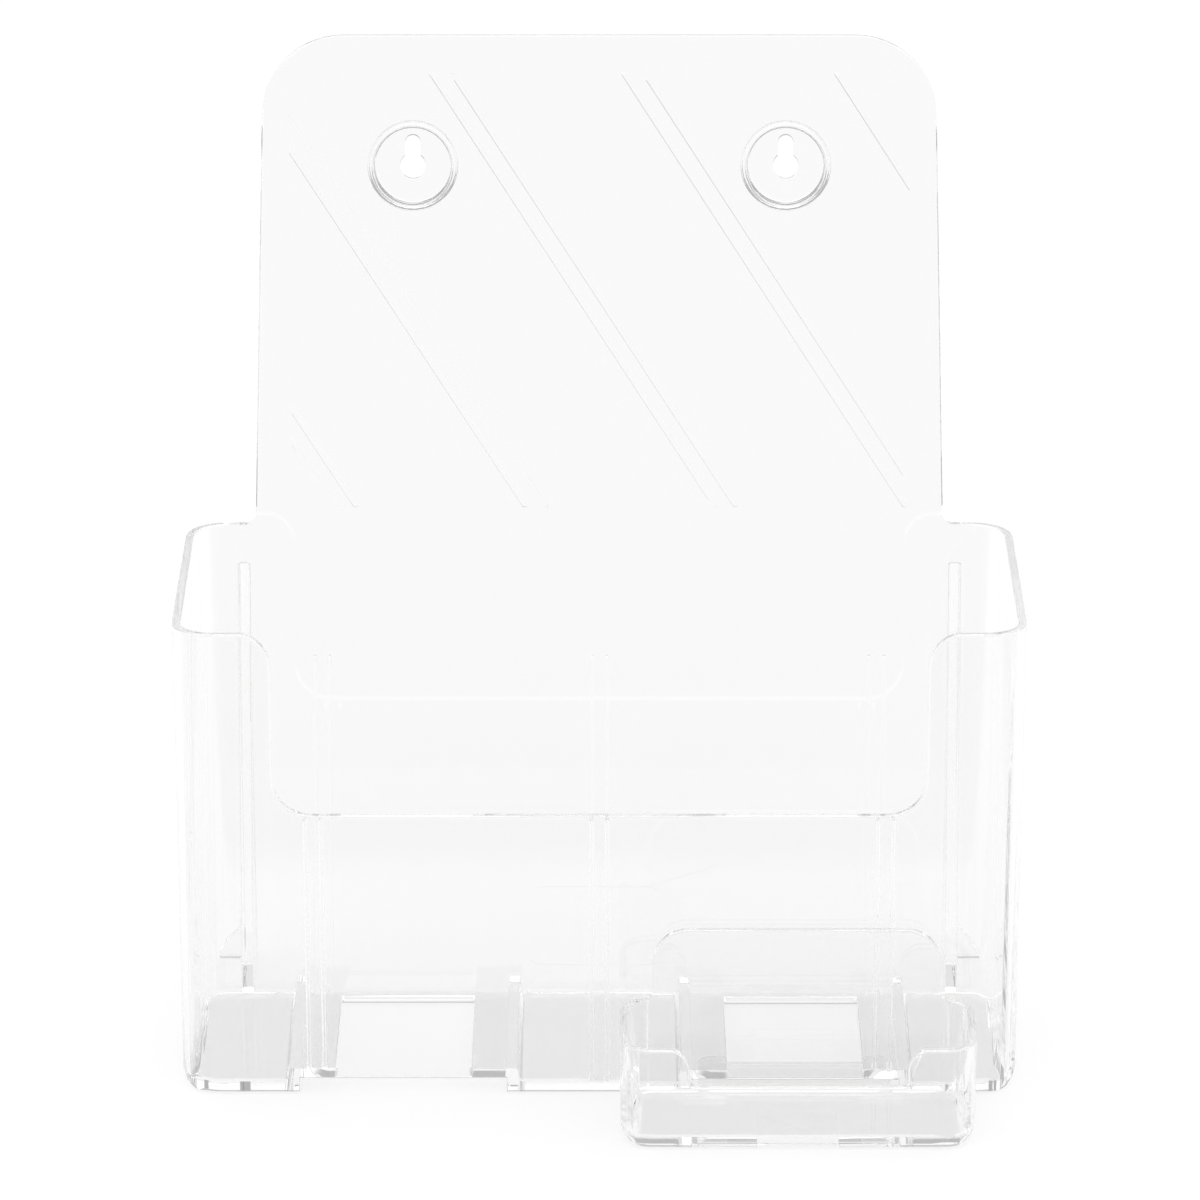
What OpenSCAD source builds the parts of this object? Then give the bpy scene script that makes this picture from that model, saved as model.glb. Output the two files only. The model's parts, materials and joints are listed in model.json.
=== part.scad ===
// Clear countertop magazine holder with a pull-off card pocket.
// Millimetres, +Z up, the open front faces -Y, the feet stand on z = 0.
// Two mouldings: the one-piece holder and the card pocket whose tongue
// slides into the right-hand floor channel.

/* [Holder size] */
// Overall width of the holder
holder_w = 235; // [180:1:300]
// Overall height, table to the top of the back panel
holder_h = 274; // [220:1:340]
// Depth of the pocket at the table, front face to back face
base_depth = 62.5; // [45:0.5:90]
// Height of the pocket rim at the front wall
rim_h = 141.7; // [110:0.1:180]
// Fall of the rim from front to back, degrees
rim_fall = 3.1; // [0:0.1:8]
// Backward lean of the back panel, degrees
back_lean = 11.7; // [5:0.1:18]
// Forward lean of the front wall, degrees
front_lean = 1.2; // [0:0.1:4]

/* [Holder walls] */
// Wall thickness of the holder
wall = 2.5; // [1.8:0.1:3.5]
// Plan radius of the four upright outer corners
corner_r = 11.5; // [6:0.5:18]
// Radius where the side walls meet the floor
bottom_r = 5; // [4:0.5:12]
// Height of the feet below the floor
foot_h = 0.5; // [0.3:0.1:1.5]
// Distance of the feet behind the front face
foot_set_back = 1.5; // [0.5:0.1:6]

/* [Front opening] */
// Distance of the opening's edge from the side of the holder
opening_inset = 27.2; // [16:0.1:60]
// Height of the lower edge of the opening
opening_z = 86.8; // [50:0.2:110]
// Radius of the lower inside corners of the opening
opening_low_r = 11; // [4:0.5:20]
// Radius of the upper outside corners of the opening
opening_top_r = 10; // [4:0.5:16]

/* [Back panel] */
// Distance of the panel's edge from the side of the holder, just above the rim
panel_inset = 19; // [8:0.5:35]
// Narrowing of each panel edge from the rim to the top
panel_taper = 3.9; // [0:0.1:12]
// Radius of the two top corners
panel_corner_r = 23; // [8:0.5:40]
// Radius of the fillet between panel edge and rim
shoulder_r = 3.6; // [2:0.1:8]

/* [Screw cups] */
// Distance between the two screw cups
cup_spacing = 105.4; // [70:0.2:140]
// Distance of the cup centres from the top of the panel, along the panel
cup_drop = 37.2; // [22:0.1:70]
// Radius of the cup mouth
cup_r = 11.4; // [9:0.1:16]
// Depth of the cup below the front face of the panel
cup_depth = 4; // [2.6:0.1:7]
// Thickness of the cup bottom
cup_floor = 2; // [1.2:0.1:3]
// Radius of the round entry of the keyhole
key_entry_r = 3.6; // [2.5:0.1:6]
// Radius of the keyhole slot
key_slot_r = 2.15; // [1.5:0.05:3]
// Travel from the entry centre to the slot end centre
key_travel = 6.6; // [5:0.1:9]

/* [Floor channels] */
// Distance of each channel centre from the side of the holder
channel_inset = 62.5; // [50:0.5:80]
// Clear width inside the channel
channel_w = 58; // [40:0.5:70]
// Clear height of the channel's mouth above the table
channel_h = 5.05; // [3.5:0.05:8]
// Thickness of the channel side walls
channel_wall = 3.3; // [2:0.1:4.5]
// Width of the window through the channel roof
window_w = 38; // [20:0.5:50]
// Distance of the window's rear edge from the back face, at the table
window_margin = 5; // [4:0.5:20]

/* [Divider guides] */
// Distance of the outer guide pairs from the side of the holder
guide_inset = 38.2; // [30:0.1:60]
// Spacing of the two ribs of one pair
guide_pitch = 4.3; // [3:0.1:7]
// Width of one rib
guide_w = 1.1; // [0.8:0.1:2.5]
// Height of a rib above the wall
guide_proud = 1.8; // [0.8:0.1:3]
// Length of the ribs on the back panel, from its foot
guide_back_h = 100.4; // [40:0.2:130]

/* [Rear fins] */
// Distance of each fin's middle from the side of the holder
fin_inset = 16; // [13:0.5:40]
// Thickness of a fin
fin_w = 3; // [2:0.1:5]
// Reach of the fin behind the back face, at the table
fin_reach = 29.5; // [15:0.5:60]
// Distance of the fin's top below the rim
fin_drop = 16.7; // [8:0.1:60]
// Amount the fin's top stands behind the panel
fin_top_proud = 1.7; // [0.5:0.1:4]
// Reach of the outboard heel
heel_w = 9.5; // [4:0.5:14]
// Height of the outboard heel
heel_h = 12.5; // [5:0.5:25]

/* [Panel lines] */
// Slope of the fine raised lines, sideways travel per unit of height
line_slope = 0.648; // [0.3:0.001:1]
// Sideways distance between two pairs
line_pitch = 54.1; // [30:0.1:80]
// Sideways distance between the two lines of a pair
line_gap = 5.9; // [3:0.1:12]
// Width of a raised line
line_w = 1.2; // [0.4:0.1:2]
// Height of a raised line above the panel
line_proud = 0.35; // [0.1:0.05:0.8]

/* [Card pocket] */
// Outer width of the card pocket
card_w = 98.8; // [94:0.2:120]
// Distance of its front face from the holder's front face, at the table
card_depth = 33.7; // [20:0.1:45]
// Height of its rim
card_rim_h = 31; // [22:0.1:40]
// Height of its back plate
card_back_h = 52.8; // [40:0.1:80]
// Width of its back plate above the rim
card_back_w = 80.7; // [60:0.1:92]
// Wall thickness of the card pocket
card_wall = 2.1; // [1.5:0.1:3]
// Forward lean of its front wall, degrees
card_lean = 2; // [0:0.1:5]
// Air gap between its back plate and the holder
card_gap = 0.4; // [0.3:0.05:1]
// Width of its low front opening
card_opening_w = 60.5; // [40:0.5:75]
// Height of the lower edge of that opening
card_opening_z = 19.3; // [12:0.1:26]
// Height of its floor above the table
card_base = 0.6; // [0.6:0.1:2]
// Thickness of its floor
card_floor = 2.4; // [1.6:0.1:4]
// Side clearance of the tongue in the channel
tongue_play = 1.7; // [0.3:0.1:3]
// Clearance between the tongue's tip and the channel's roof
tongue_headroom = 0.35; // [0.3:0.05:1]
// Reach of the tongue behind the holder's front face
tongue_reach = 15.8; // [8:0.1:30]

/* [Hidden] */
$fn = 64;

// Extra length that takes a cutting tool clear of what it cuts.
over = 5;
// Sinking of an added rib or boss into the wall that carries it.
root = 0.4;
// Length of the tall prisms that bound each moulding.
tall = holder_h + 60;

// Slight sinking of a part drawn flush, so that the two become one solid.
sink = 0.2;

floor_top = foot_h + wall;
channel_top = channel_h + wall;
opening_w = holder_w - 2 * opening_inset;
// The flare of the opening runs out a little above the rim, so it meets it cleanly.
flare_lift = 0.25;
opening_rim_s = rim_h / (cos(front_lean) - sin(front_lean) * tan(rim_fall)) + flare_lift;
channel_x = holder_w / 2 - channel_inset;
panel_low_w = holder_w - 2 * panel_inset;
panel_top_w = panel_low_w - 2 * panel_taper;
panel_len = (holder_h - wall * sin(back_lean)) / cos(back_lean);
// Sinking of the panel's plate below the rim, inside the back wall.
panel_sunk = 25;
panel_foot_s = rim_h - panel_sunk;
// Where the rim crosses the back panel's rear and front faces, along the panel.
rim_cross = cos(back_lean) + sin(back_lean) * tan(rim_fall);
rim_rear_s = (rim_h - base_depth * tan(rim_fall)) / rim_cross;
rim_back_s = rim_rear_s - wall * (sin(back_lean) - cos(back_lean) * tan(rim_fall)) / rim_cross;
// Half width of the panel where the shoulder fillets end.
shoulder_half_w = panel_low_w / 2
    - panel_taper * (rim_back_s + shoulder_r - panel_foot_s) / (panel_len - panel_foot_s);
fillet_bite = 0.1;

cup_s = panel_len - cup_drop;
// Wall of the cup at its mouth and at its bottom, and the taper of its bore.
cup_mouth_wall = 1.5;
cup_end_wall = 0.9;
cup_taper = 0.7;
// Drop of the keyhole's entry below the middle of the cup.
key_drop = 0.4;

// The channel's roof falls from its mouth to the level of the floor at the back wall.
roof_run = base_depth - wall;
roof_slope = (channel_h - foot_h) / roof_run;
window_rear = base_depth - window_margin;
// Start of the cut that takes the window on through the floor.
window_start = roof_run / 3;

// The ribs start above the feet and stop below the opening.
guide_x = holder_w / 2 - guide_inset;
guide_start = 1;
guide_back_start = 0.5;
guide_stop = 1.8;
guide_front_top = opening_z - guide_stop;

fin_x = holder_w / 2 - fin_inset;
fin_rear = base_depth + fin_reach;
fin_h = rim_h - fin_drop;
// Thickness of the outboard heel, and of its outer edge.
heel_t = 2.6;
heel_edge = 1;

// Clip box of the fine lines, from the panel's edges and the rim.
line_half_w = panel_top_w / 2 - 7;
line_low = rim_rear_s + 4.7;
line_high = panel_len - 10.7;
// Place of the middle pair at the lower end.
line_mid = 36;

// Shallow blank recess in the outer face of the front wall.
pad_w = 37.1;
pad_h = 24.3;
pad_x = -1.2;
pad_z = 53;
pad_r = 4;
pad_deep = 0.08;

// Outer limits that put the origin under the middle of the whole object.
back_limit = base_depth + panel_len * sin(back_lean);
front_limit = card_depth + card_rim_h * tan(card_lean);
shift_y = (front_limit - back_limit) / 2;

// Rounding radii of the card pocket.
card_corner_r = 9;
card_bottom_r = 6;
card_back_r = 10;
card_shoulder_r = 2.5;
card_opening_top_r = 6.5;
card_opening_low_r = 2;
// Shallow ramped relief under the front edge of the card pocket.
relief_w = 22.6;
relief_deep = 0.7;
relief_run = 20;
tongue_corner_r = 4;
// Taper of its back plate's sides, and the plate's sinking below the rim.
card_back_taper = 0.3;
card_back_sunk = 12;
tongue_t = channel_h - roof_slope * tongue_reach - card_base - tongue_headroom;

// ---------- frames ----------

module front_frame() {
    rotate([front_lean, 0, 0])
        children();
}

module back_frame() {
    translate([0, base_depth, 0])
        rotate([-back_lean, 0, 0])
            children();
}

// ---------- plain shapes ----------

// Flat shape open towards +Y, its two corners on y = 0 rounded.
module round_front(half_w, r, reach) {
    translate([-half_w + r, 0])
        square([2 * (half_w - r), reach]);
    translate([-half_w, r])
        square([2 * half_w, reach - r]);
    for (side = [-1, 1]) {
        translate([side * (half_w - r), r])
            circle(r = r);
    }
}

// Flat shape of an upright plate: tapered sides, rounded top corners.
module tapered_plate(half_low, half_top, low, top, r) {
    taper = atan((half_low - half_top) / (top - low));
    edge_at = half_top + r * tan(taper);
    mid_x = edge_at - r / cos(taper);
    mid_y = top - r;
    touch_x = mid_x + r * cos(taper);
    touch_y = mid_y + r * sin(taper);
    polygon([
        [-half_low, low],
        [half_low, low],
        [touch_x, touch_y],
        [mid_x, top],
        [-mid_x, top],
        [-touch_x, touch_y]
    ]);
    for (side = [-1, 1]) {
        translate([side * mid_x, mid_y])
            circle(r = r);
    }
}

// Flat fillets that run the plate's sides out into the rim below. Each bites a
// little into plate and rim, so that it meets both cleanly.
module shoulder_fillets(half_w, low, r) {
    mid_x = half_w + r - fillet_bite;
    mid_y = low + r - fillet_bite;
    for (side = [-1, 1]) {
        difference() {
            translate([side > 0 ? half_w - root : -mid_x, low - over])
                square([mid_x - half_w + root, mid_y - low + over]);
            translate([side * mid_x, mid_y])
                circle(r = r);
        }
    }
}

// Flat shape of a low opening: round lower corners, flared round upper ones.
module opening_shape(half_w, low, rim, low_r, top_r) {
    round_top = rim + 2 * over;
    translate([0, low])
        round_front(half_w, low_r, round_top - low);
    for (side = [-1, 1]) {
        difference() {
            translate([side > 0 ? half_w - root : -half_w - top_r, rim - top_r])
                square([top_r + root, top_r + 2 * over]);
            translate([side * (half_w + top_r), rim - top_r])
                circle(r = top_r);
        }
    }
}

// ---------- holder ----------

// Solid bounded by front wall, back panel, sides and floor, moved inwards.
module pocket_solid(inset, low_z) {
    half_w = holder_w / 2 - inset;
    intersection() {
        front_frame()
            translate([0, inset, -over])
                linear_extrude(height = tall)
                    round_front(half_w, corner_r - inset, tall);
        back_frame()
            translate([0, -inset, -tall / 4])
                mirror([0, 1, 0])
                    linear_extrude(height = 2 * tall)
                        round_front(half_w, corner_r - inset, tall);
        translate([0, tall / 2, low_z])
            rotate([90, 0, 0])
                linear_extrude(height = tall)
                    round_front(half_w, bottom_r - inset, tall);
    }
}

// Everything above the sloping rim.
module above_rim(height, fall) {
    translate([-holder_w, 0, height])
        rotate([-fall, 0, 0])
            translate([0, -tall / 2, 0])
                cube([2 * holder_w, tall, tall]);
}

module front_opening_tool() {
    front_frame()
        translate([0, wall + over, 0])
            rotate([90, 0, 0])
                linear_extrude(height = wall + 2 * over)
                    opening_shape(opening_w / 2, opening_z, opening_rim_s, opening_low_r,
                        opening_top_r);
}

module pocket_shell() {
    difference() {
        pocket_solid(0, foot_h);
        pocket_solid(wall, floor_top);
        above_rim(rim_h, rim_fall);
        front_opening_tool();
    }
}

module back_panel() {
    back_frame()
        rotate([90, 0, 0])
            linear_extrude(height = wall) {
                tapered_plate(panel_low_w / 2, panel_top_w / 2, panel_foot_s, panel_len,
                    panel_corner_r);
                shoulder_fillets(shoulder_half_w, rim_back_s, shoulder_r);
            }
}

module panel_lines() {
    line_angle = atan(line_slope);
    run = (line_high - line_low) / cos(line_angle) + 2 * over;
    intersection() {
        back_frame()
            translate([-line_half_w, -wall - line_proud, line_low])
                cube([2 * line_half_w, line_proud + sink, line_high - line_low]);
        back_frame()
            rotate([90, 0, 0])
                linear_extrude(height = 2 * wall)
                    tapered_plate(panel_low_w / 2, panel_top_w / 2, panel_foot_s, panel_len,
                        panel_corner_r);
        back_frame()
            for (pair = [-2 : 2]) {
                for (side = [-1, 1]) {
                    x = line_mid + pair * line_pitch + side * line_gap / 2;
                    translate([x, -wall - line_proud, line_low])
                        rotate([0, -line_angle, 0])
                            translate([-line_w / 2, 0, -over])
                                cube([line_w, line_proud + sink, run]);
                }
            }
    }
}

module cup_body(side) {
    back_frame()
        translate([side * cup_spacing / 2, -wall, cup_s])
            rotate([-90, 0, 0])
                cylinder(r1 = cup_r + cup_mouth_wall, r2 = cup_r + cup_end_wall,
                    h = cup_depth + cup_floor);
}

module cup_tools(side) {
    lead = 1;
    key_y = cup_depth - wall - lead;
    key_z = cup_s - key_drop;
    key_len = cup_floor + 2 * lead;
    back_frame() {
        translate([side * cup_spacing / 2, -wall - lead, cup_s])
            rotate([-90, 0, 0])
                cylinder(r1 = cup_r + lead * cup_taper / cup_depth, r2 = cup_r - cup_taper,
                    h = cup_depth + lead);
        translate([side * cup_spacing / 2, key_y, key_z]) {
            rotate([-90, 0, 0])
                cylinder(r = key_entry_r, h = key_len);
            translate([-key_slot_r, 0, 0])
                cube([2 * key_slot_r, key_len, key_travel]);
            translate([0, 0, key_travel])
                rotate([-90, 0, 0])
                    cylinder(r = key_slot_r, h = key_len);
        }
    }
}

// Cut or slab under a line that falls like the channel's roof, seen from the side.
module sloped(width, back, low, front_z) {
    translate([-width / 2, 0, 0])
        rotate([90, 0, 90])
            linear_extrude(height = width)
                polygon([
                    [-over, low],
                    [back, low],
                    [back, front_z - roof_slope * back],
                    [-over, front_z + roof_slope * over]
                ]);
}

module window_tool(front) {
    translate([-window_w / 2, front, -over])
        cube([window_w, window_rear - front, channel_top + 2 * over]);
}

// Falling roof over one channel, with its window, and the two walls it hangs between.
module channel_body(side) {
    outer_half = channel_w / 2 + channel_wall;
    intersection() {
        pocket_solid(root, foot_h);
        translate([side * channel_x, 0, 0]) {
            difference() {
                sloped(2 * outer_half, roof_run + wall / 2, foot_h, channel_top);
                window_tool(-2 * over);
            }
            for (edge = [-1, 1]) {
                translate([edge * (channel_w + channel_wall) / 2 - channel_wall / 2, -over, 0])
                    cube([channel_wall, tall, channel_top]);
            }
        }
    }
    for (edge = [-1, 1]) {
        foot_x = side * channel_x + edge * (channel_w + channel_wall) / 2;
        translate([foot_x - channel_wall / 2, foot_set_back, 0])
            cube([channel_wall, base_depth - foot_set_back, foot_h + root]);
    }
}

module channel_tool(side) {
    translate([side * channel_x, 0, 0]) {
        translate([-channel_w / 2, -over, -over])
            cube([channel_w, roof_run + over, foot_h + over]);
        sloped(channel_w, roof_run, 0, channel_h);
        window_tool(window_start);
    }
}

module guide_ribs() {
    for (place = [-1, 0, 1]) {
        for (side = [-1, 1]) {
            x = place * guide_x + side * guide_pitch / 2;
            front_frame()
                translate([x - guide_w / 2, wall - root, foot_h + guide_start])
                    cube([guide_w, guide_proud + root, guide_front_top - foot_h - guide_start]);
            back_frame()
                translate([x - guide_w / 2, -wall - guide_proud, foot_h + guide_back_start])
                    cube([guide_w, guide_proud + root, guide_back_h]);
        }
    }
}

module rear_fin(side) {
    panel_y = base_depth + fin_h * tan(back_lean);
    translate([side * fin_x - fin_w / 2, 0, 0])
        rotate([90, 0, 90])
            linear_extrude(height = fin_w)
                polygon([
                    [base_depth - wall / 2, 0],
                    [fin_rear, 0],
                    [panel_y + fin_top_proud, fin_h],
                    [panel_y - wall / 2, fin_h]
                ]);
    heel_x = fin_x + fin_w / 2 - root;
    translate([0, fin_rear - root, 0])
        rotate([90, 0, 0])
            linear_extrude(height = heel_t)
                polygon([
                    [side * heel_x, 0],
                    [side * (heel_x + root + heel_w), 0],
                    [side * (heel_x + root + heel_w), heel_edge],
                    [side * (heel_x + root), heel_h],
                    [side * heel_x, heel_h]
                ]);
}

module blank_pad() {
    front_frame()
        translate([pad_x, pad_deep, pad_z])
            rotate([90, 0, 0])
                linear_extrude(height = pad_deep + over) {
                    square([pad_w - 2 * pad_r, pad_h], center = true);
                    square([pad_w, pad_h - 2 * pad_r], center = true);
                    for (right = [-1, 1], up = [-1, 1]) {
                        translate([right * (pad_w / 2 - pad_r), up * (pad_h / 2 - pad_r)])
                            circle(r = pad_r);
                    }
                }
}

module holder() {
    color([0.93, 0.96, 0.97, 0.35])
        translate([0, shift_y, 0])
            difference() {
                union() {
                    pocket_shell();
                    back_panel();
                    panel_lines();
                    guide_ribs();
                    for (side = [-1, 1]) {
                        channel_body(side);
                        cup_body(side);
                        rear_fin(side);
                    }
                }
                blank_pad();
                for (side = [-1, 1]) {
                    channel_tool(side);
                    cup_tools(side);
                }
            }
}

// ---------- card pocket ----------

module card_front_frame() {
    translate([0, -card_depth, 0])
        rotate([card_lean, 0, 0])
            children();
}

module card_solid(inset, low_z) {
    half_w = card_w / 2 - inset;
    intersection() {
        card_front_frame()
            translate([0, inset, -over])
                linear_extrude(height = tall / 2)
                    round_front(half_w, card_corner_r - inset, tall);
        front_frame()
            translate([0, -card_gap - inset, -over])
                mirror([0, 1, 0])
                    linear_extrude(height = tall / 2)
                        round_front(half_w, card_corner_r - inset, tall);
        translate([0, tall / 2, low_z])
            rotate([90, 0, 0])
                linear_extrude(height = tall)
                    round_front(half_w, card_bottom_r - inset, tall);
    }
}

module card_back_plate() {
    front_frame() {
        intersection() {
            translate([0, -card_gap, 0])
                rotate([90, 0, 0])
                    linear_extrude(height = card_wall) {
                        tapered_plate(card_back_w / 2, card_back_w / 2 - card_back_taper,
                            card_rim_h - card_back_sunk, card_back_h, card_back_r);
                        shoulder_fillets(card_back_w / 2 - card_back_taper, card_rim_h,
                            card_shoulder_r);
                    }
            translate([0, -card_gap, 0])
                mirror([0, 1, 0])
                    linear_extrude(height = 2 * card_back_h)
                        round_front(card_w / 2, card_corner_r, card_depth);
        }
    }
}

module card_tongue() {
    half_w = channel_w / 2 - tongue_play;
    translate([0, tongue_reach, card_base])
        mirror([0, 1, 0])
            linear_extrude(height = tongue_t)
                round_front(half_w, tongue_corner_r, tongue_reach + card_gap + card_wall);
}

module card_relief() {
    rise = relief_deep / relief_run;
    translate([-relief_w / 2, -card_depth, card_base])
        rotate([90, 0, 90])
            linear_extrude(height = relief_w)
                polygon([
                    [-over, -over],
                    [relief_run, -over],
                    [relief_run, 0],
                    [-over, relief_deep + rise * over]
                ]);
}

module card_pocket() {
    color([0.93, 0.96, 0.97, 0.35])
        translate([channel_x, shift_y, 0])
            difference() {
                union() {
                    difference() {
                        card_solid(0, card_base);
                        card_solid(card_wall, card_base + card_floor);
                        translate([-holder_w, -holder_w, card_rim_h])
                            cube([2 * holder_w, 2 * holder_w, holder_h]);
                        card_front_frame()
                            translate([0, card_wall + over, 0])
                                rotate([90, 0, 0])
                                    linear_extrude(height = card_wall + 2 * over)
                                        opening_shape(card_opening_w / 2, card_opening_z,
                                            card_rim_h / cos(card_lean) + flare_lift,
                                            card_opening_low_r, card_opening_top_r);
                    }
                    card_back_plate();
                    card_tongue();
                }
                card_relief();
            }
}

holder();
card_pocket();
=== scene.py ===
import json
import math
import bmesh
import bpy
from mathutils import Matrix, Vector
from mathutils.geometry import intersect_point_line

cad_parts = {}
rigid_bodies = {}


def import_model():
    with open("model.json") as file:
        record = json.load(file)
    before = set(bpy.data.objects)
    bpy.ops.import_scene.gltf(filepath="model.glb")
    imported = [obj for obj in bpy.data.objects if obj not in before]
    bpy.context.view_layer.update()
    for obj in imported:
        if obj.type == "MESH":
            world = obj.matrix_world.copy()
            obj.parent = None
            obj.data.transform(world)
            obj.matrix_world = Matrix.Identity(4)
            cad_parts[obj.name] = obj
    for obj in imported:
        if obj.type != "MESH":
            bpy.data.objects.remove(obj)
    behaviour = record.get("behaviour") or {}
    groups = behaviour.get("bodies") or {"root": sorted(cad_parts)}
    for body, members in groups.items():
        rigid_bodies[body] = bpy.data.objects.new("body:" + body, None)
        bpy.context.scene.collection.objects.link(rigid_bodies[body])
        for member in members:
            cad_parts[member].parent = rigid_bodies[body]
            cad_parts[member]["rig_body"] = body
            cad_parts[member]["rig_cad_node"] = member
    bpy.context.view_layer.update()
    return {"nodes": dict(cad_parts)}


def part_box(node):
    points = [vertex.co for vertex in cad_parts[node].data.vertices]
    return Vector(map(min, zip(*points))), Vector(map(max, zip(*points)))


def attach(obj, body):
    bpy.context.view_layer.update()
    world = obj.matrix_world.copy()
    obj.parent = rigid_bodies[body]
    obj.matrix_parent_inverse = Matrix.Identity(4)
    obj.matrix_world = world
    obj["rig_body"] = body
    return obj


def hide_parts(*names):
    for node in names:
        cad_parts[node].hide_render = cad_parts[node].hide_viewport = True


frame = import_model()
mm = 0.001
print("frame loaded")


# how edges are rounded: lengths in millimetres, turns in degrees
roundSet = {
    "weld": 0.05,
    "levelTurn": 0.6,
    "sharpTurn": 30.0,
    "smoothTurn": 35.0,
    "foldedTurn": 105.0,
    "segments": 3,
    "endPiece": 2.5,
    "roomShare": 0.9,
    "leastShrink": 0.3,
    "tries": 6,
    "firstReach": 1.2,
    "addedReach": 0.6,
    "boxSlack": 0.01,
    "leastFlip": 0.3,
    "levelWeight": 90,
}


def deselectAll():
    if bpy.context.object and bpy.context.object.mode != "OBJECT":
        bpy.ops.object.mode_set(mode="OBJECT")
    bpy.ops.object.select_all(action="DESELECT")


def pickOnly(piece):
    deselectAll()
    piece.select_set(True)
    bpy.context.view_layer.objects.active = piece


# a working copy of a CAD node: its loose triangles welded, its flat faces made whole
def weldedCopy(node, name):
    piece = frame["nodes"][node].copy()
    piece.data = frame["nodes"][node].data.copy()
    piece.name = piece.data.name = name
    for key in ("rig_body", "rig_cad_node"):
        if key in piece:
            del piece[key]
    piece.parent = None
    bpy.context.scene.collection.objects.link(piece)
    piece.data.materials.clear()
    pickOnly(piece)
    bpy.ops.object.mode_set(mode="EDIT")
    bpy.ops.mesh.select_all(action="SELECT")
    bpy.ops.mesh.remove_doubles(threshold=roundSet["weld"] * mm)
    bpy.ops.mesh.dissolve_limited(angle_limit=math.radians(roundSet["levelTurn"]))
    bpy.ops.object.mode_set(mode="OBJECT")
    return piece


straightOn = 0.9  # two edges whose directions agree this well run on in one line


# what the roundings at one end of an edge take off its length, in millimetres
def takenAt(corner, edge, radius):
    along = (edge.other_vert(corner).co - corner.co).normalized()
    taken = 0.0
    for other in corner.link_edges:
        if other is not edge and radius[other.index] > 0:
            side = (other.other_vert(corner).co - corner.co).normalized()
            if abs(along.dot(side)) < straightOn:
                taken = max(taken, radius[other.index])
    return taken


def turnOf(edge):
    return math.degrees(edge.calc_face_angle_signed(0.0))


# long edges get a short piece of their own at each end, so a crowded corner can go without its rounding
def cutEnds(work):
    endPiece = roundSet["endPiece"] * mm
    sharp = [edge for edge in work.edges if abs(turnOf(edge)) > roundSet["sharpTurn"]]
    for edge in [edge for edge in sharp if edge.calc_length() > 4 * endPiece]:
        whole = edge.calc_length()
        first, last = edge.verts
        added, middle = bmesh.utils.edge_split(edge, first, endPiece / whole)
        rest = edge if last in edge.verts else added
        bmesh.utils.edge_split(rest, last, endPiece / (whole - endPiece))


# radii by edge number; they shrink where they would meet on a short edge
def plannedRadii(work, radiusAt):
    radius = {}
    for edge in work.edges:
        turn = turnOf(edge)
        middle = (edge.verts[0].co + edge.verts[1].co) / 2 / mm
        radius[edge.index] = radiusAt(middle, turn) if abs(turn) > roundSet["sharpTurn"] else 0.0
    for sweep in range(3):
        for edge in work.edges:
            room = edge.calc_length() / mm * roundSet["roomShare"]
            taken = sum(takenAt(corner, edge, radius) for corner in edge.verts)
            if taken > room:
                for corner in edge.verts:
                    for other in corner.link_edges:
                        if other is not edge:
                            radius[other.index] *= max(roundSet["leastShrink"], room / taken)
    return radius


# places where rounded faces folded over, turned inside out or came out of the piece's own box
def badPlaces(mesh, low, high):
    work = bmesh.new()
    work.from_mesh(mesh)
    folded = [edge for edge in work.edges if abs(turnOf(edge)) > roundSet["foldedTurn"]]
    found = [(edge.verts[0].co + edge.verts[1].co) / 2 for edge in folded]
    for loops in work.calc_loop_triangles():
        a, b, c = (loop.vert.co for loop in loops)
        across = (b - a).cross(c - a)
        flipped = across.dot(loops[0].face.normal) < 0
        if flipped and across.length > (roundSet["leastFlip"] * mm) ** 2:
            sides = ((a, b), (b, c), (c, a))
            shortest = min(sides, key=lambda side: (side[0] - side[1]).length)
            found.append((shortest[0] + shortest[1]) / 2)
    slack = roundSet["boxSlack"] * mm
    for vert in work.verts:
        if any(not low[i] - slack < vert.co[i] < high[i] + slack for i in range(3)):
            found.append(vert.co.copy())
    work.free()
    return found


# how far a spot lies from the edge between two ends, in millimetres
def apartFrom(spot, ends):
    near, share = intersect_point_line(spot, *ends)
    near = ends[0].lerp(ends[1], min(1.0, max(0.0, share)))
    return (near - spot).length / mm


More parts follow.
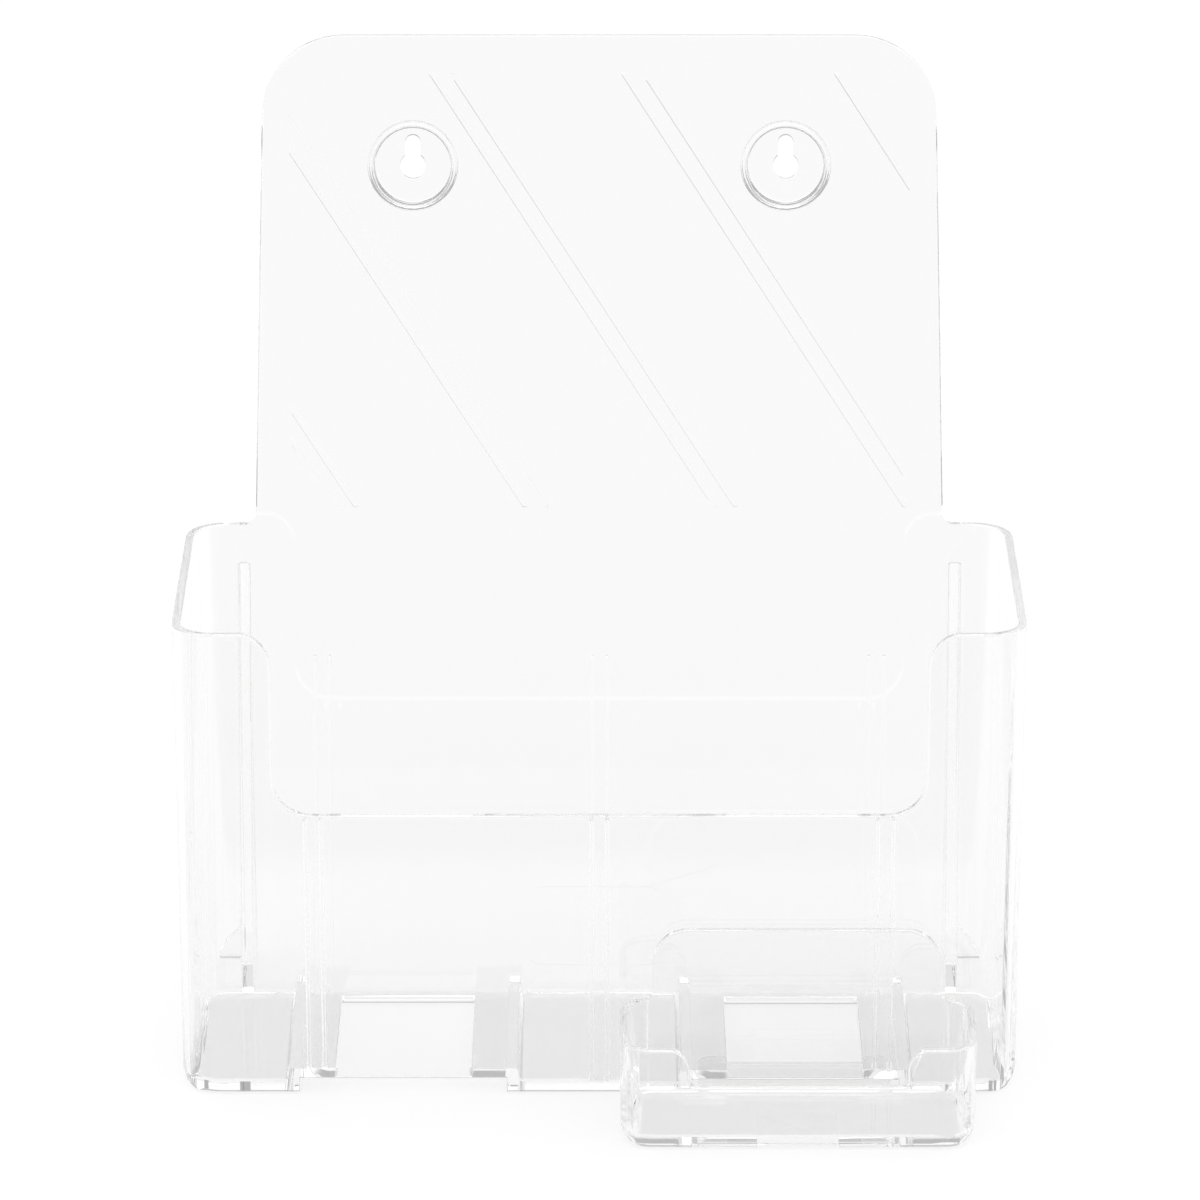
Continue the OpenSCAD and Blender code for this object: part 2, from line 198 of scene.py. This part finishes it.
# rounds the edges that the rule gives a radius, in millimetres, then smooths what is nearly level
def roundEdges(piece, node, radiusAt, largest):
    low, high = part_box(node)
    work = bmesh.new()
    work.from_mesh(piece.data)
    cutEnds(work)
    work.edges.index_update()
    radius = plannedRadii(work, radiusAt)
    ends = {edge.index: [vert.co.copy() for vert in edge.verts] for edge in work.edges}
    plain = piece.data
    work.to_mesh(plain)
    work.free()
    pickOnly(piece)
    for tries in range(roundSet["tries"]):  # each try leaves the last try's trouble spots sharp
        piece.data = plain.copy()
        weights = piece.data.attributes.new("bevel_weight_edge", "FLOAT", "EDGE")
        for number, value in radius.items():
            weights.data[number].value = value / largest
        bevel = piece.modifiers.new("roundedEdges", "BEVEL")
        bevel.width = largest * mm
        bevel.segments = roundSet["segments"]
        bevel.limit_method = "WEIGHT"
        bevel.miter_outer = "MITER_SHARP"
        bevel.use_clamp_overlap = False  # the radii already give way to short edges
        bevel.loop_slide = True
        bevel.face_strength_mode = "FSTR_ALL"
        bpy.ops.object.modifier_apply(modifier=bevel.name)
        spots = badPlaces(piece.data, low, high)
        reach = roundSet["firstReach"] + roundSet["addedReach"] * tries
        rounded = [number for number in radius if radius[number] > 0]
        crowded = [n for n in rounded if any(apartFrom(spot, ends[n]) < reach for spot in spots)]
        print(piece.name, "try", tries, "bad places", len(spots), "sharpened", len(crowded))
        if not crowded:
            break
        for number in crowded:
            radius[number] = 0.0
    piece.data.name = piece.name
    bpy.ops.object.shade_smooth_by_angle(angle=math.radians(roundSet["smoothTurn"]))
    # wide faces stay flat up to their rounded edges
    level = piece.modifiers.new("levelNormals", "WEIGHTED_NORMAL")
    level.mode = "FACE_AREA"
    level.weight = roundSet["levelWeight"]
    level.keep_sharp = True
    level.use_face_influence = True
    bpy.ops.object.modifier_apply(modifier=level.name)
    print(piece.name, "has", len(piece.data.polygons), "faces")


# one group gives every clear moulding its faint mould waviness and polish marks
def mouldedSkinGroup():
    group = bpy.data.node_groups.new("mouldedSkin", "ShaderNodeTree")
    for label, value in (("Wave Size", 22.0), ("Polish Size", 400.0), ("Clean", 0.0), ("Hazed", 0.03)):
        socket = group.interface.new_socket(name=label, in_out="INPUT", socket_type="NodeSocketFloat")
        socket.default_value = value
    group.interface.new_socket(name="Height", in_out="OUTPUT", socket_type="NodeSocketFloat")
    group.interface.new_socket(name="Roughness", in_out="OUTPUT", socket_type="NodeSocketFloat")
    nodes, links = group.nodes, group.links
    given = nodes.new("NodeGroupInput")
    made = nodes.new("NodeGroupOutput")
    place = nodes.new("ShaderNodeTexCoord")
    wave = nodes.new("ShaderNodeTexNoise")
    wave.inputs["Detail"].default_value = 1.0
    links.new(place.outputs["Object"], wave.inputs["Vector"])
    links.new(given.outputs["Wave Size"], wave.inputs["Scale"])
    stretch = nodes.new("ShaderNodeMapping")
    stretch.inputs["Rotation"].default_value = (0.0, 0.35, 0.0)
    stretch.inputs["Scale"].default_value = (1.0, 1.0, 0.08)
    links.new(place.outputs["Object"], stretch.inputs["Vector"])
    polish = nodes.new("ShaderNodeTexNoise")
    polish.inputs["Detail"].default_value = 3.0
    links.new(stretch.outputs["Vector"], polish.inputs["Vector"])
    links.new(given.outputs["Polish Size"], polish.inputs["Scale"])
    haze = nodes.new("ShaderNodeMapRange")
    haze.inputs["From Min"].default_value = 0.55
    haze.inputs["From Max"].default_value = 0.8
    links.new(polish.outputs["Fac"], haze.inputs["Value"])
    links.new(given.outputs["Clean"], haze.inputs["To Min"])
    links.new(given.outputs["Hazed"], haze.inputs["To Max"])
    links.new(wave.outputs["Fac"], made.inputs["Height"])
    links.new(haze.outputs["Result"], made.inputs["Roughness"])
    return group


mouldedSkin = mouldedSkinGroup()


def clearPlastic(name, look):
    mat = bpy.data.materials.new(name)
    mat.use_nodes = True
    nodes, links = mat.node_tree.nodes, mat.node_tree.links
    shader = nodes["Principled BSDF"]
    shader.inputs["Base Color"].default_value = (*look["tint"], 1.0)
    shader.inputs["IOR"].default_value = look["ior"]
    shader.inputs["Transmission Weight"].default_value = 1.0
    skin = nodes.new("ShaderNodeGroup")
    skin.node_tree = mouldedSkin
    for label in ("Wave Size", "Polish Size", "Clean", "Hazed"):
        skin.inputs[label].default_value = look[label]
    bump = nodes.new("ShaderNodeBump")
    bump.inputs["Strength"].default_value = look["waveStrength"]
    bump.inputs["Distance"].default_value = look["waveDepth"] * mm
    links.new(skin.outputs["Height"], bump.inputs["Height"])
    links.new(bump.outputs["Normal"], shader.inputs["Normal"])
    links.new(skin.outputs["Roughness"], shader.inputs["Roughness"])
    return mat


# the holder: plates, ribs and fins in one clear moulding; sizes in millimetres
holderSet = {
    "wall": 2.5,
    "baseDepth": 62.5,
    "backLean": 11.7,
    "frontLean": 1.2,
    "rimRound": 0.7,
    "cornerRound": 0.5,
    "ribRound": 0.3,
    "floorRound": 1.5,
    "footRound": 1.0,
    "keyRound": 0.25,
    "largestRound": 1.5,
    "lineBox": (88.2, 143.8, 269.2),
    "lineRound": 0.28,
    "cupApart": 105.4,
    "cupAlong": 242.1,
    "cupRadius": 13.1,
    "cupMargin": 1.0,
    "cupsAbove": 200.0,
    "keyWithin": 9.0,
    "floorTop": 3.0,
    "floorBand": 0.4,
    "ribsInboard": 83.0,
    "ribsAbove": 9.0,
    "ribsProud": 6.0,
    "frontRibsFrom": 0.8,
    "backRibsFrom": 1.0,
    "ribRoots": 3.1,
    "openingHeight": 86.8,
    "openingBand": 3.0,
    "padBox": (20.5, 39.0, 67.0),
    "padDepth": 0.4,
    "rimsAbove": 75.0,
    "footZone": 1.0,
}
holderLook = {
    "tint": (0.97, 0.97, 0.97),
    "ior": 1.59,
    "Wave Size": 24.0,
    "Polish Size": 380.0,
    "Clean": 0.0,
    "Hazed": 0.03,
    "waveStrength": 0.25,
    "waveDepth": 0.02,
}
holderHigh = Vector(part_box("holder")[1]) / mm
backLean = math.radians(holderSet["backLean"])
frontLean = math.radians(holderSet["frontLean"])
panelFoot = holderHigh.y - (holderHigh.z - holderSet["wall"] * math.sin(backLean)) * math.tan(backLean)
frontFoot = panelFoot - holderSet["baseDepth"]


# height up the panel, and depth in front of its back face
def onPanel(spot):
    away = spot.y - panelFoot
    return (
        away * math.sin(backLean) + spot.z * math.cos(backLean),
        spot.z * math.sin(backLean) - away * math.cos(backLean),
    )


# the rounding radius of the edge with its middle at this spot; a hollow corner has a turn below zero
def holderRadius(spot, turn):
    size = holderSet
    up, depth = onPanel(spot)
    cupX = abs(spot.x) - size["cupApart"] / 2
    fromCup = math.hypot(cupX, up - size["cupAlong"])
    if fromCup < size["cupRadius"] + size["cupMargin"] and up > size["cupsAbove"]:
        return size["keyRound"] if fromCup < size["keyWithin"] else size["ribRound"]
    lineX, lineLow, lineHigh = size["lineBox"]
    if abs(spot.x) < lineX and lineLow < up < lineHigh and depth > size["wall"] - 0.1:
        return size["lineRound"] if turn > 0 else 0.0
    inFront = spot.y - frontFoot + spot.z * math.tan(frontLean)
    padX, padLow, padHigh = size["padBox"]
    if abs(spot.x) < padX and padLow < spot.z < padHigh and inFront < size["padDepth"]:
        return 0.0
    onFrontRibs = size["frontRibsFrom"] < inFront < size["ribsProud"]
    onBackRibs = size["backRibsFrom"] < depth < size["ribsProud"]
    if abs(spot.x) < size["ribsInboard"] and spot.z > size["ribsAbove"] and (onFrontRibs or onBackRibs):
        atRoot = inFront < size["ribRoots"] or depth < size["ribRoots"]
        if abs(spot.z - size["openingHeight"]) >= size["openingBand"]:
            return 0.0 if atRoot and turn < 0 else size["ribRound"]
    if turn < 0:
        onFloor = abs(spot.z - size["floorTop"]) < size["floorBand"]
        return size["floorRound"] if onFloor else size["cornerRound"]
    if spot.z > size["rimsAbove"]:
        return size["rimRound"]
    if spot.z < size["footZone"] and inFront < size["footZone"]:
        return size["footRound"]
    return size["cornerRound"]


holder = weldedCopy("holder", "clearHolder")
roundEdges(holder, "holder", holderRadius, holderSet["largestRound"])
holder.data.materials.append(clearPlastic("holderPlastic", holderLook))
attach(holder, "holder")
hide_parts("holder")
print("holder done")

# the card pocket: a small tray with a taller back and a tongue; sizes in millimetres
cardSet = {
    "rimRound": 0.6,
    "cornerRound": 0.5,
    "rimAbove": 18.0,
    "floorTop": 3.0,
    "floorBand": 0.4,
    "floorRound": 1.4,
    "reliefTop": 1.5,
    "reliefHalf": 12.0,
    "reliefRound": 0.2,
}
cardMiddle = sum(corner.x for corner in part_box("card_pocket")) / 2 / mm
cardLook = dict(holderLook)
cardLook["Wave Size"] = 30.0


def cardRadius(spot, turn):
    if turn > 0 and spot.z > cardSet["rimAbove"]:
        return cardSet["rimRound"]
    if turn < 0 and abs(spot.z - cardSet["floorTop"]) < cardSet["floorBand"]:
        return cardSet["floorRound"]
    if spot.z < cardSet["reliefTop"] and abs(spot.x - cardMiddle) < cardSet["reliefHalf"]:
        return cardSet["reliefRound"]
    return cardSet["cornerRound"]


cardPocket = weldedCopy("card_pocket", "clearCardPocket")
roundEdges(cardPocket, "card_pocket", cardRadius, cardSet["floorRound"])
cardPocket.data.materials.append(clearPlastic("cardPocketPlastic", cardLook))
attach(cardPocket, "card_pocket")
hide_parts("card_pocket")
print("card pocket done")

# a pale light table: mostly its own glow, so shadows stay faint; the glow is even near the middle and fades
# further out, a painted pool of light
floorSet = {
    "radius": 4.0,
    "below": 0.0002,
    "glow": 0.84,
    "farGlow": 0.25,
    "poolInner": 0.95,
    "poolOuter": 1.8,
    "paper": 0.18,
}
deselectAll()
floorPlaceAt = (0, 0, -floorSet["below"])
bpy.ops.mesh.primitive_circle_add(vertices=96, radius=floorSet["radius"], fill_type="NGON", location=floorPlaceAt)
floor = bpy.context.object
floor.name = "studioFloor"
floorMat = bpy.data.materials.new("paleFloor")
floorMat.use_nodes = True
floorNodes, floorLinks = floorMat.node_tree.nodes, floorMat.node_tree.links
floorShader = floorNodes["Principled BSDF"]
floorShader.inputs["Base Color"].default_value = (floorSet["paper"],) * 3 + (1,)
floorShader.inputs["Roughness"].default_value = 0.9
floorShader.inputs["Specular IOR Level"].default_value = 0.0
floorPlace = floorNodes.new("ShaderNodeTexCoord")
fromMiddle = floorNodes.new("ShaderNodeVectorMath")
fromMiddle.operation = "LENGTH"
floorLinks.new(floorPlace.outputs["Object"], fromMiddle.inputs[0])
# painted pool of light: the floor's glow is strongest inside the inner radius and fades to the far glow beyond
# the outer radius
paintedLightPool = floorNodes.new("ShaderNodeMapRange")
paintedLightPool.interpolation_type = "SMOOTHSTEP"
paintedLightPool.inputs["From Min"].default_value = floorSet["poolInner"]
paintedLightPool.inputs["From Max"].default_value = floorSet["poolOuter"]
paintedLightPool.inputs["To Min"].default_value = floorSet["glow"]
paintedLightPool.inputs["To Max"].default_value = floorSet["farGlow"]
floorLinks.new(fromMiddle.outputs["Value"], paintedLightPool.inputs["Value"])
floorShader.inputs["Emission Color"].default_value = (1, 1, 1, 1)
floorLinks.new(paintedLightPool.outputs["Result"], floorShader.inputs["Emission Strength"])
floor.data.materials.append(floorMat)

# an even room, dimmer in front, with one broad soft light overhead
studioSet = {
    "roomGlow": 0.45,
    "frontGlow": 0.36,
    "frontFrom": -0.6,
    "frontTo": -0.93,
    "overheadGlow": 1.5,
    "roomTop": 0.45,
    "overheadStart": 0.7,
}
world = bpy.data.worlds.new("studio")
bpy.context.scene.world = world
world.use_nodes = True
skyNodes, skyLinks = world.node_tree.nodes, world.node_tree.links
sky = skyNodes["Background"]
skyPlace = skyNodes.new("ShaderNodeTexCoord")
skyAxes = skyNodes.new("ShaderNodeSeparateXYZ")
skyLinks.new(skyPlace.outputs["Generated"], skyAxes.inputs[0])
front = skyNodes.new("ShaderNodeMapRange")
front.interpolation_type = "SMOOTHSTEP"
front.inputs["From Min"].default_value = studioSet["frontTo"]
front.inputs["From Max"].default_value = studioSet["frontFrom"]
front.inputs["To Min"].default_value = studioSet["frontGlow"]
front.inputs["To Max"].default_value = studioSet["roomGlow"]
skyLinks.new(skyAxes.outputs["Y"], front.inputs["Value"])
overhead = skyNodes.new("ShaderNodeMapRange")
overhead.interpolation_type = "SMOOTHSTEP"
overhead.inputs["From Min"].default_value = studioSet["roomTop"]
overhead.inputs["From Max"].default_value = studioSet["overheadStart"]
skyLinks.new(front.outputs["Result"], overhead.inputs["To Min"])
overhead.inputs["To Max"].default_value = studioSet["overheadGlow"]
skyLinks.new(skyAxes.outputs["Z"], overhead.inputs["Value"])
skyLinks.new(overhead.outputs["Result"], sky.inputs["Strength"])
sky.inputs["Color"].default_value = (1, 1, 1, 1)
bpy.context.scene.view_settings.view_transform = "Standard"
# light runs a long way inside clear walls before it leaves at an edge
cycles = bpy.context.scene.cycles
mostBounces = 220
cycles.max_bounces = mostBounces
cycles.transmission_bounces = mostBounces
cycles.glossy_bounces = mostBounces
print("studio ready")

# looks down at a point in the middle of the holder; lengths in metres
cameraSet = {
    "pitch": 23.0,
    "distance": 2.0,
    "height": 0.139,
    "side": 0.0002,
    "lens": 213.4,
    "forward": -0.0421776,
}
pitch = math.radians(cameraSet["pitch"])
cameraData = bpy.data.cameras.new("camera")
cameraData.lens = cameraSet["lens"]
cameraData.sensor_width = 36.0
cameraData.clip_start = 0.05
cameraData.clip_end = 50
camera = bpy.data.objects.new("camera", cameraData)
bpy.context.scene.collection.objects.link(camera)
camera.location = (
    cameraSet["side"],
    -cameraSet["distance"] * math.cos(pitch) + cameraSet["height"] * math.sin(pitch) + cameraSet["forward"],
    cameraSet["distance"] * math.sin(pitch) + cameraSet["height"] * math.cos(pitch),
)
camera.rotation_euler = (math.pi / 2 - pitch, 0, 0)
bpy.context.scene.camera = camera
print("camera set")

bpy.context.view_layer.update()
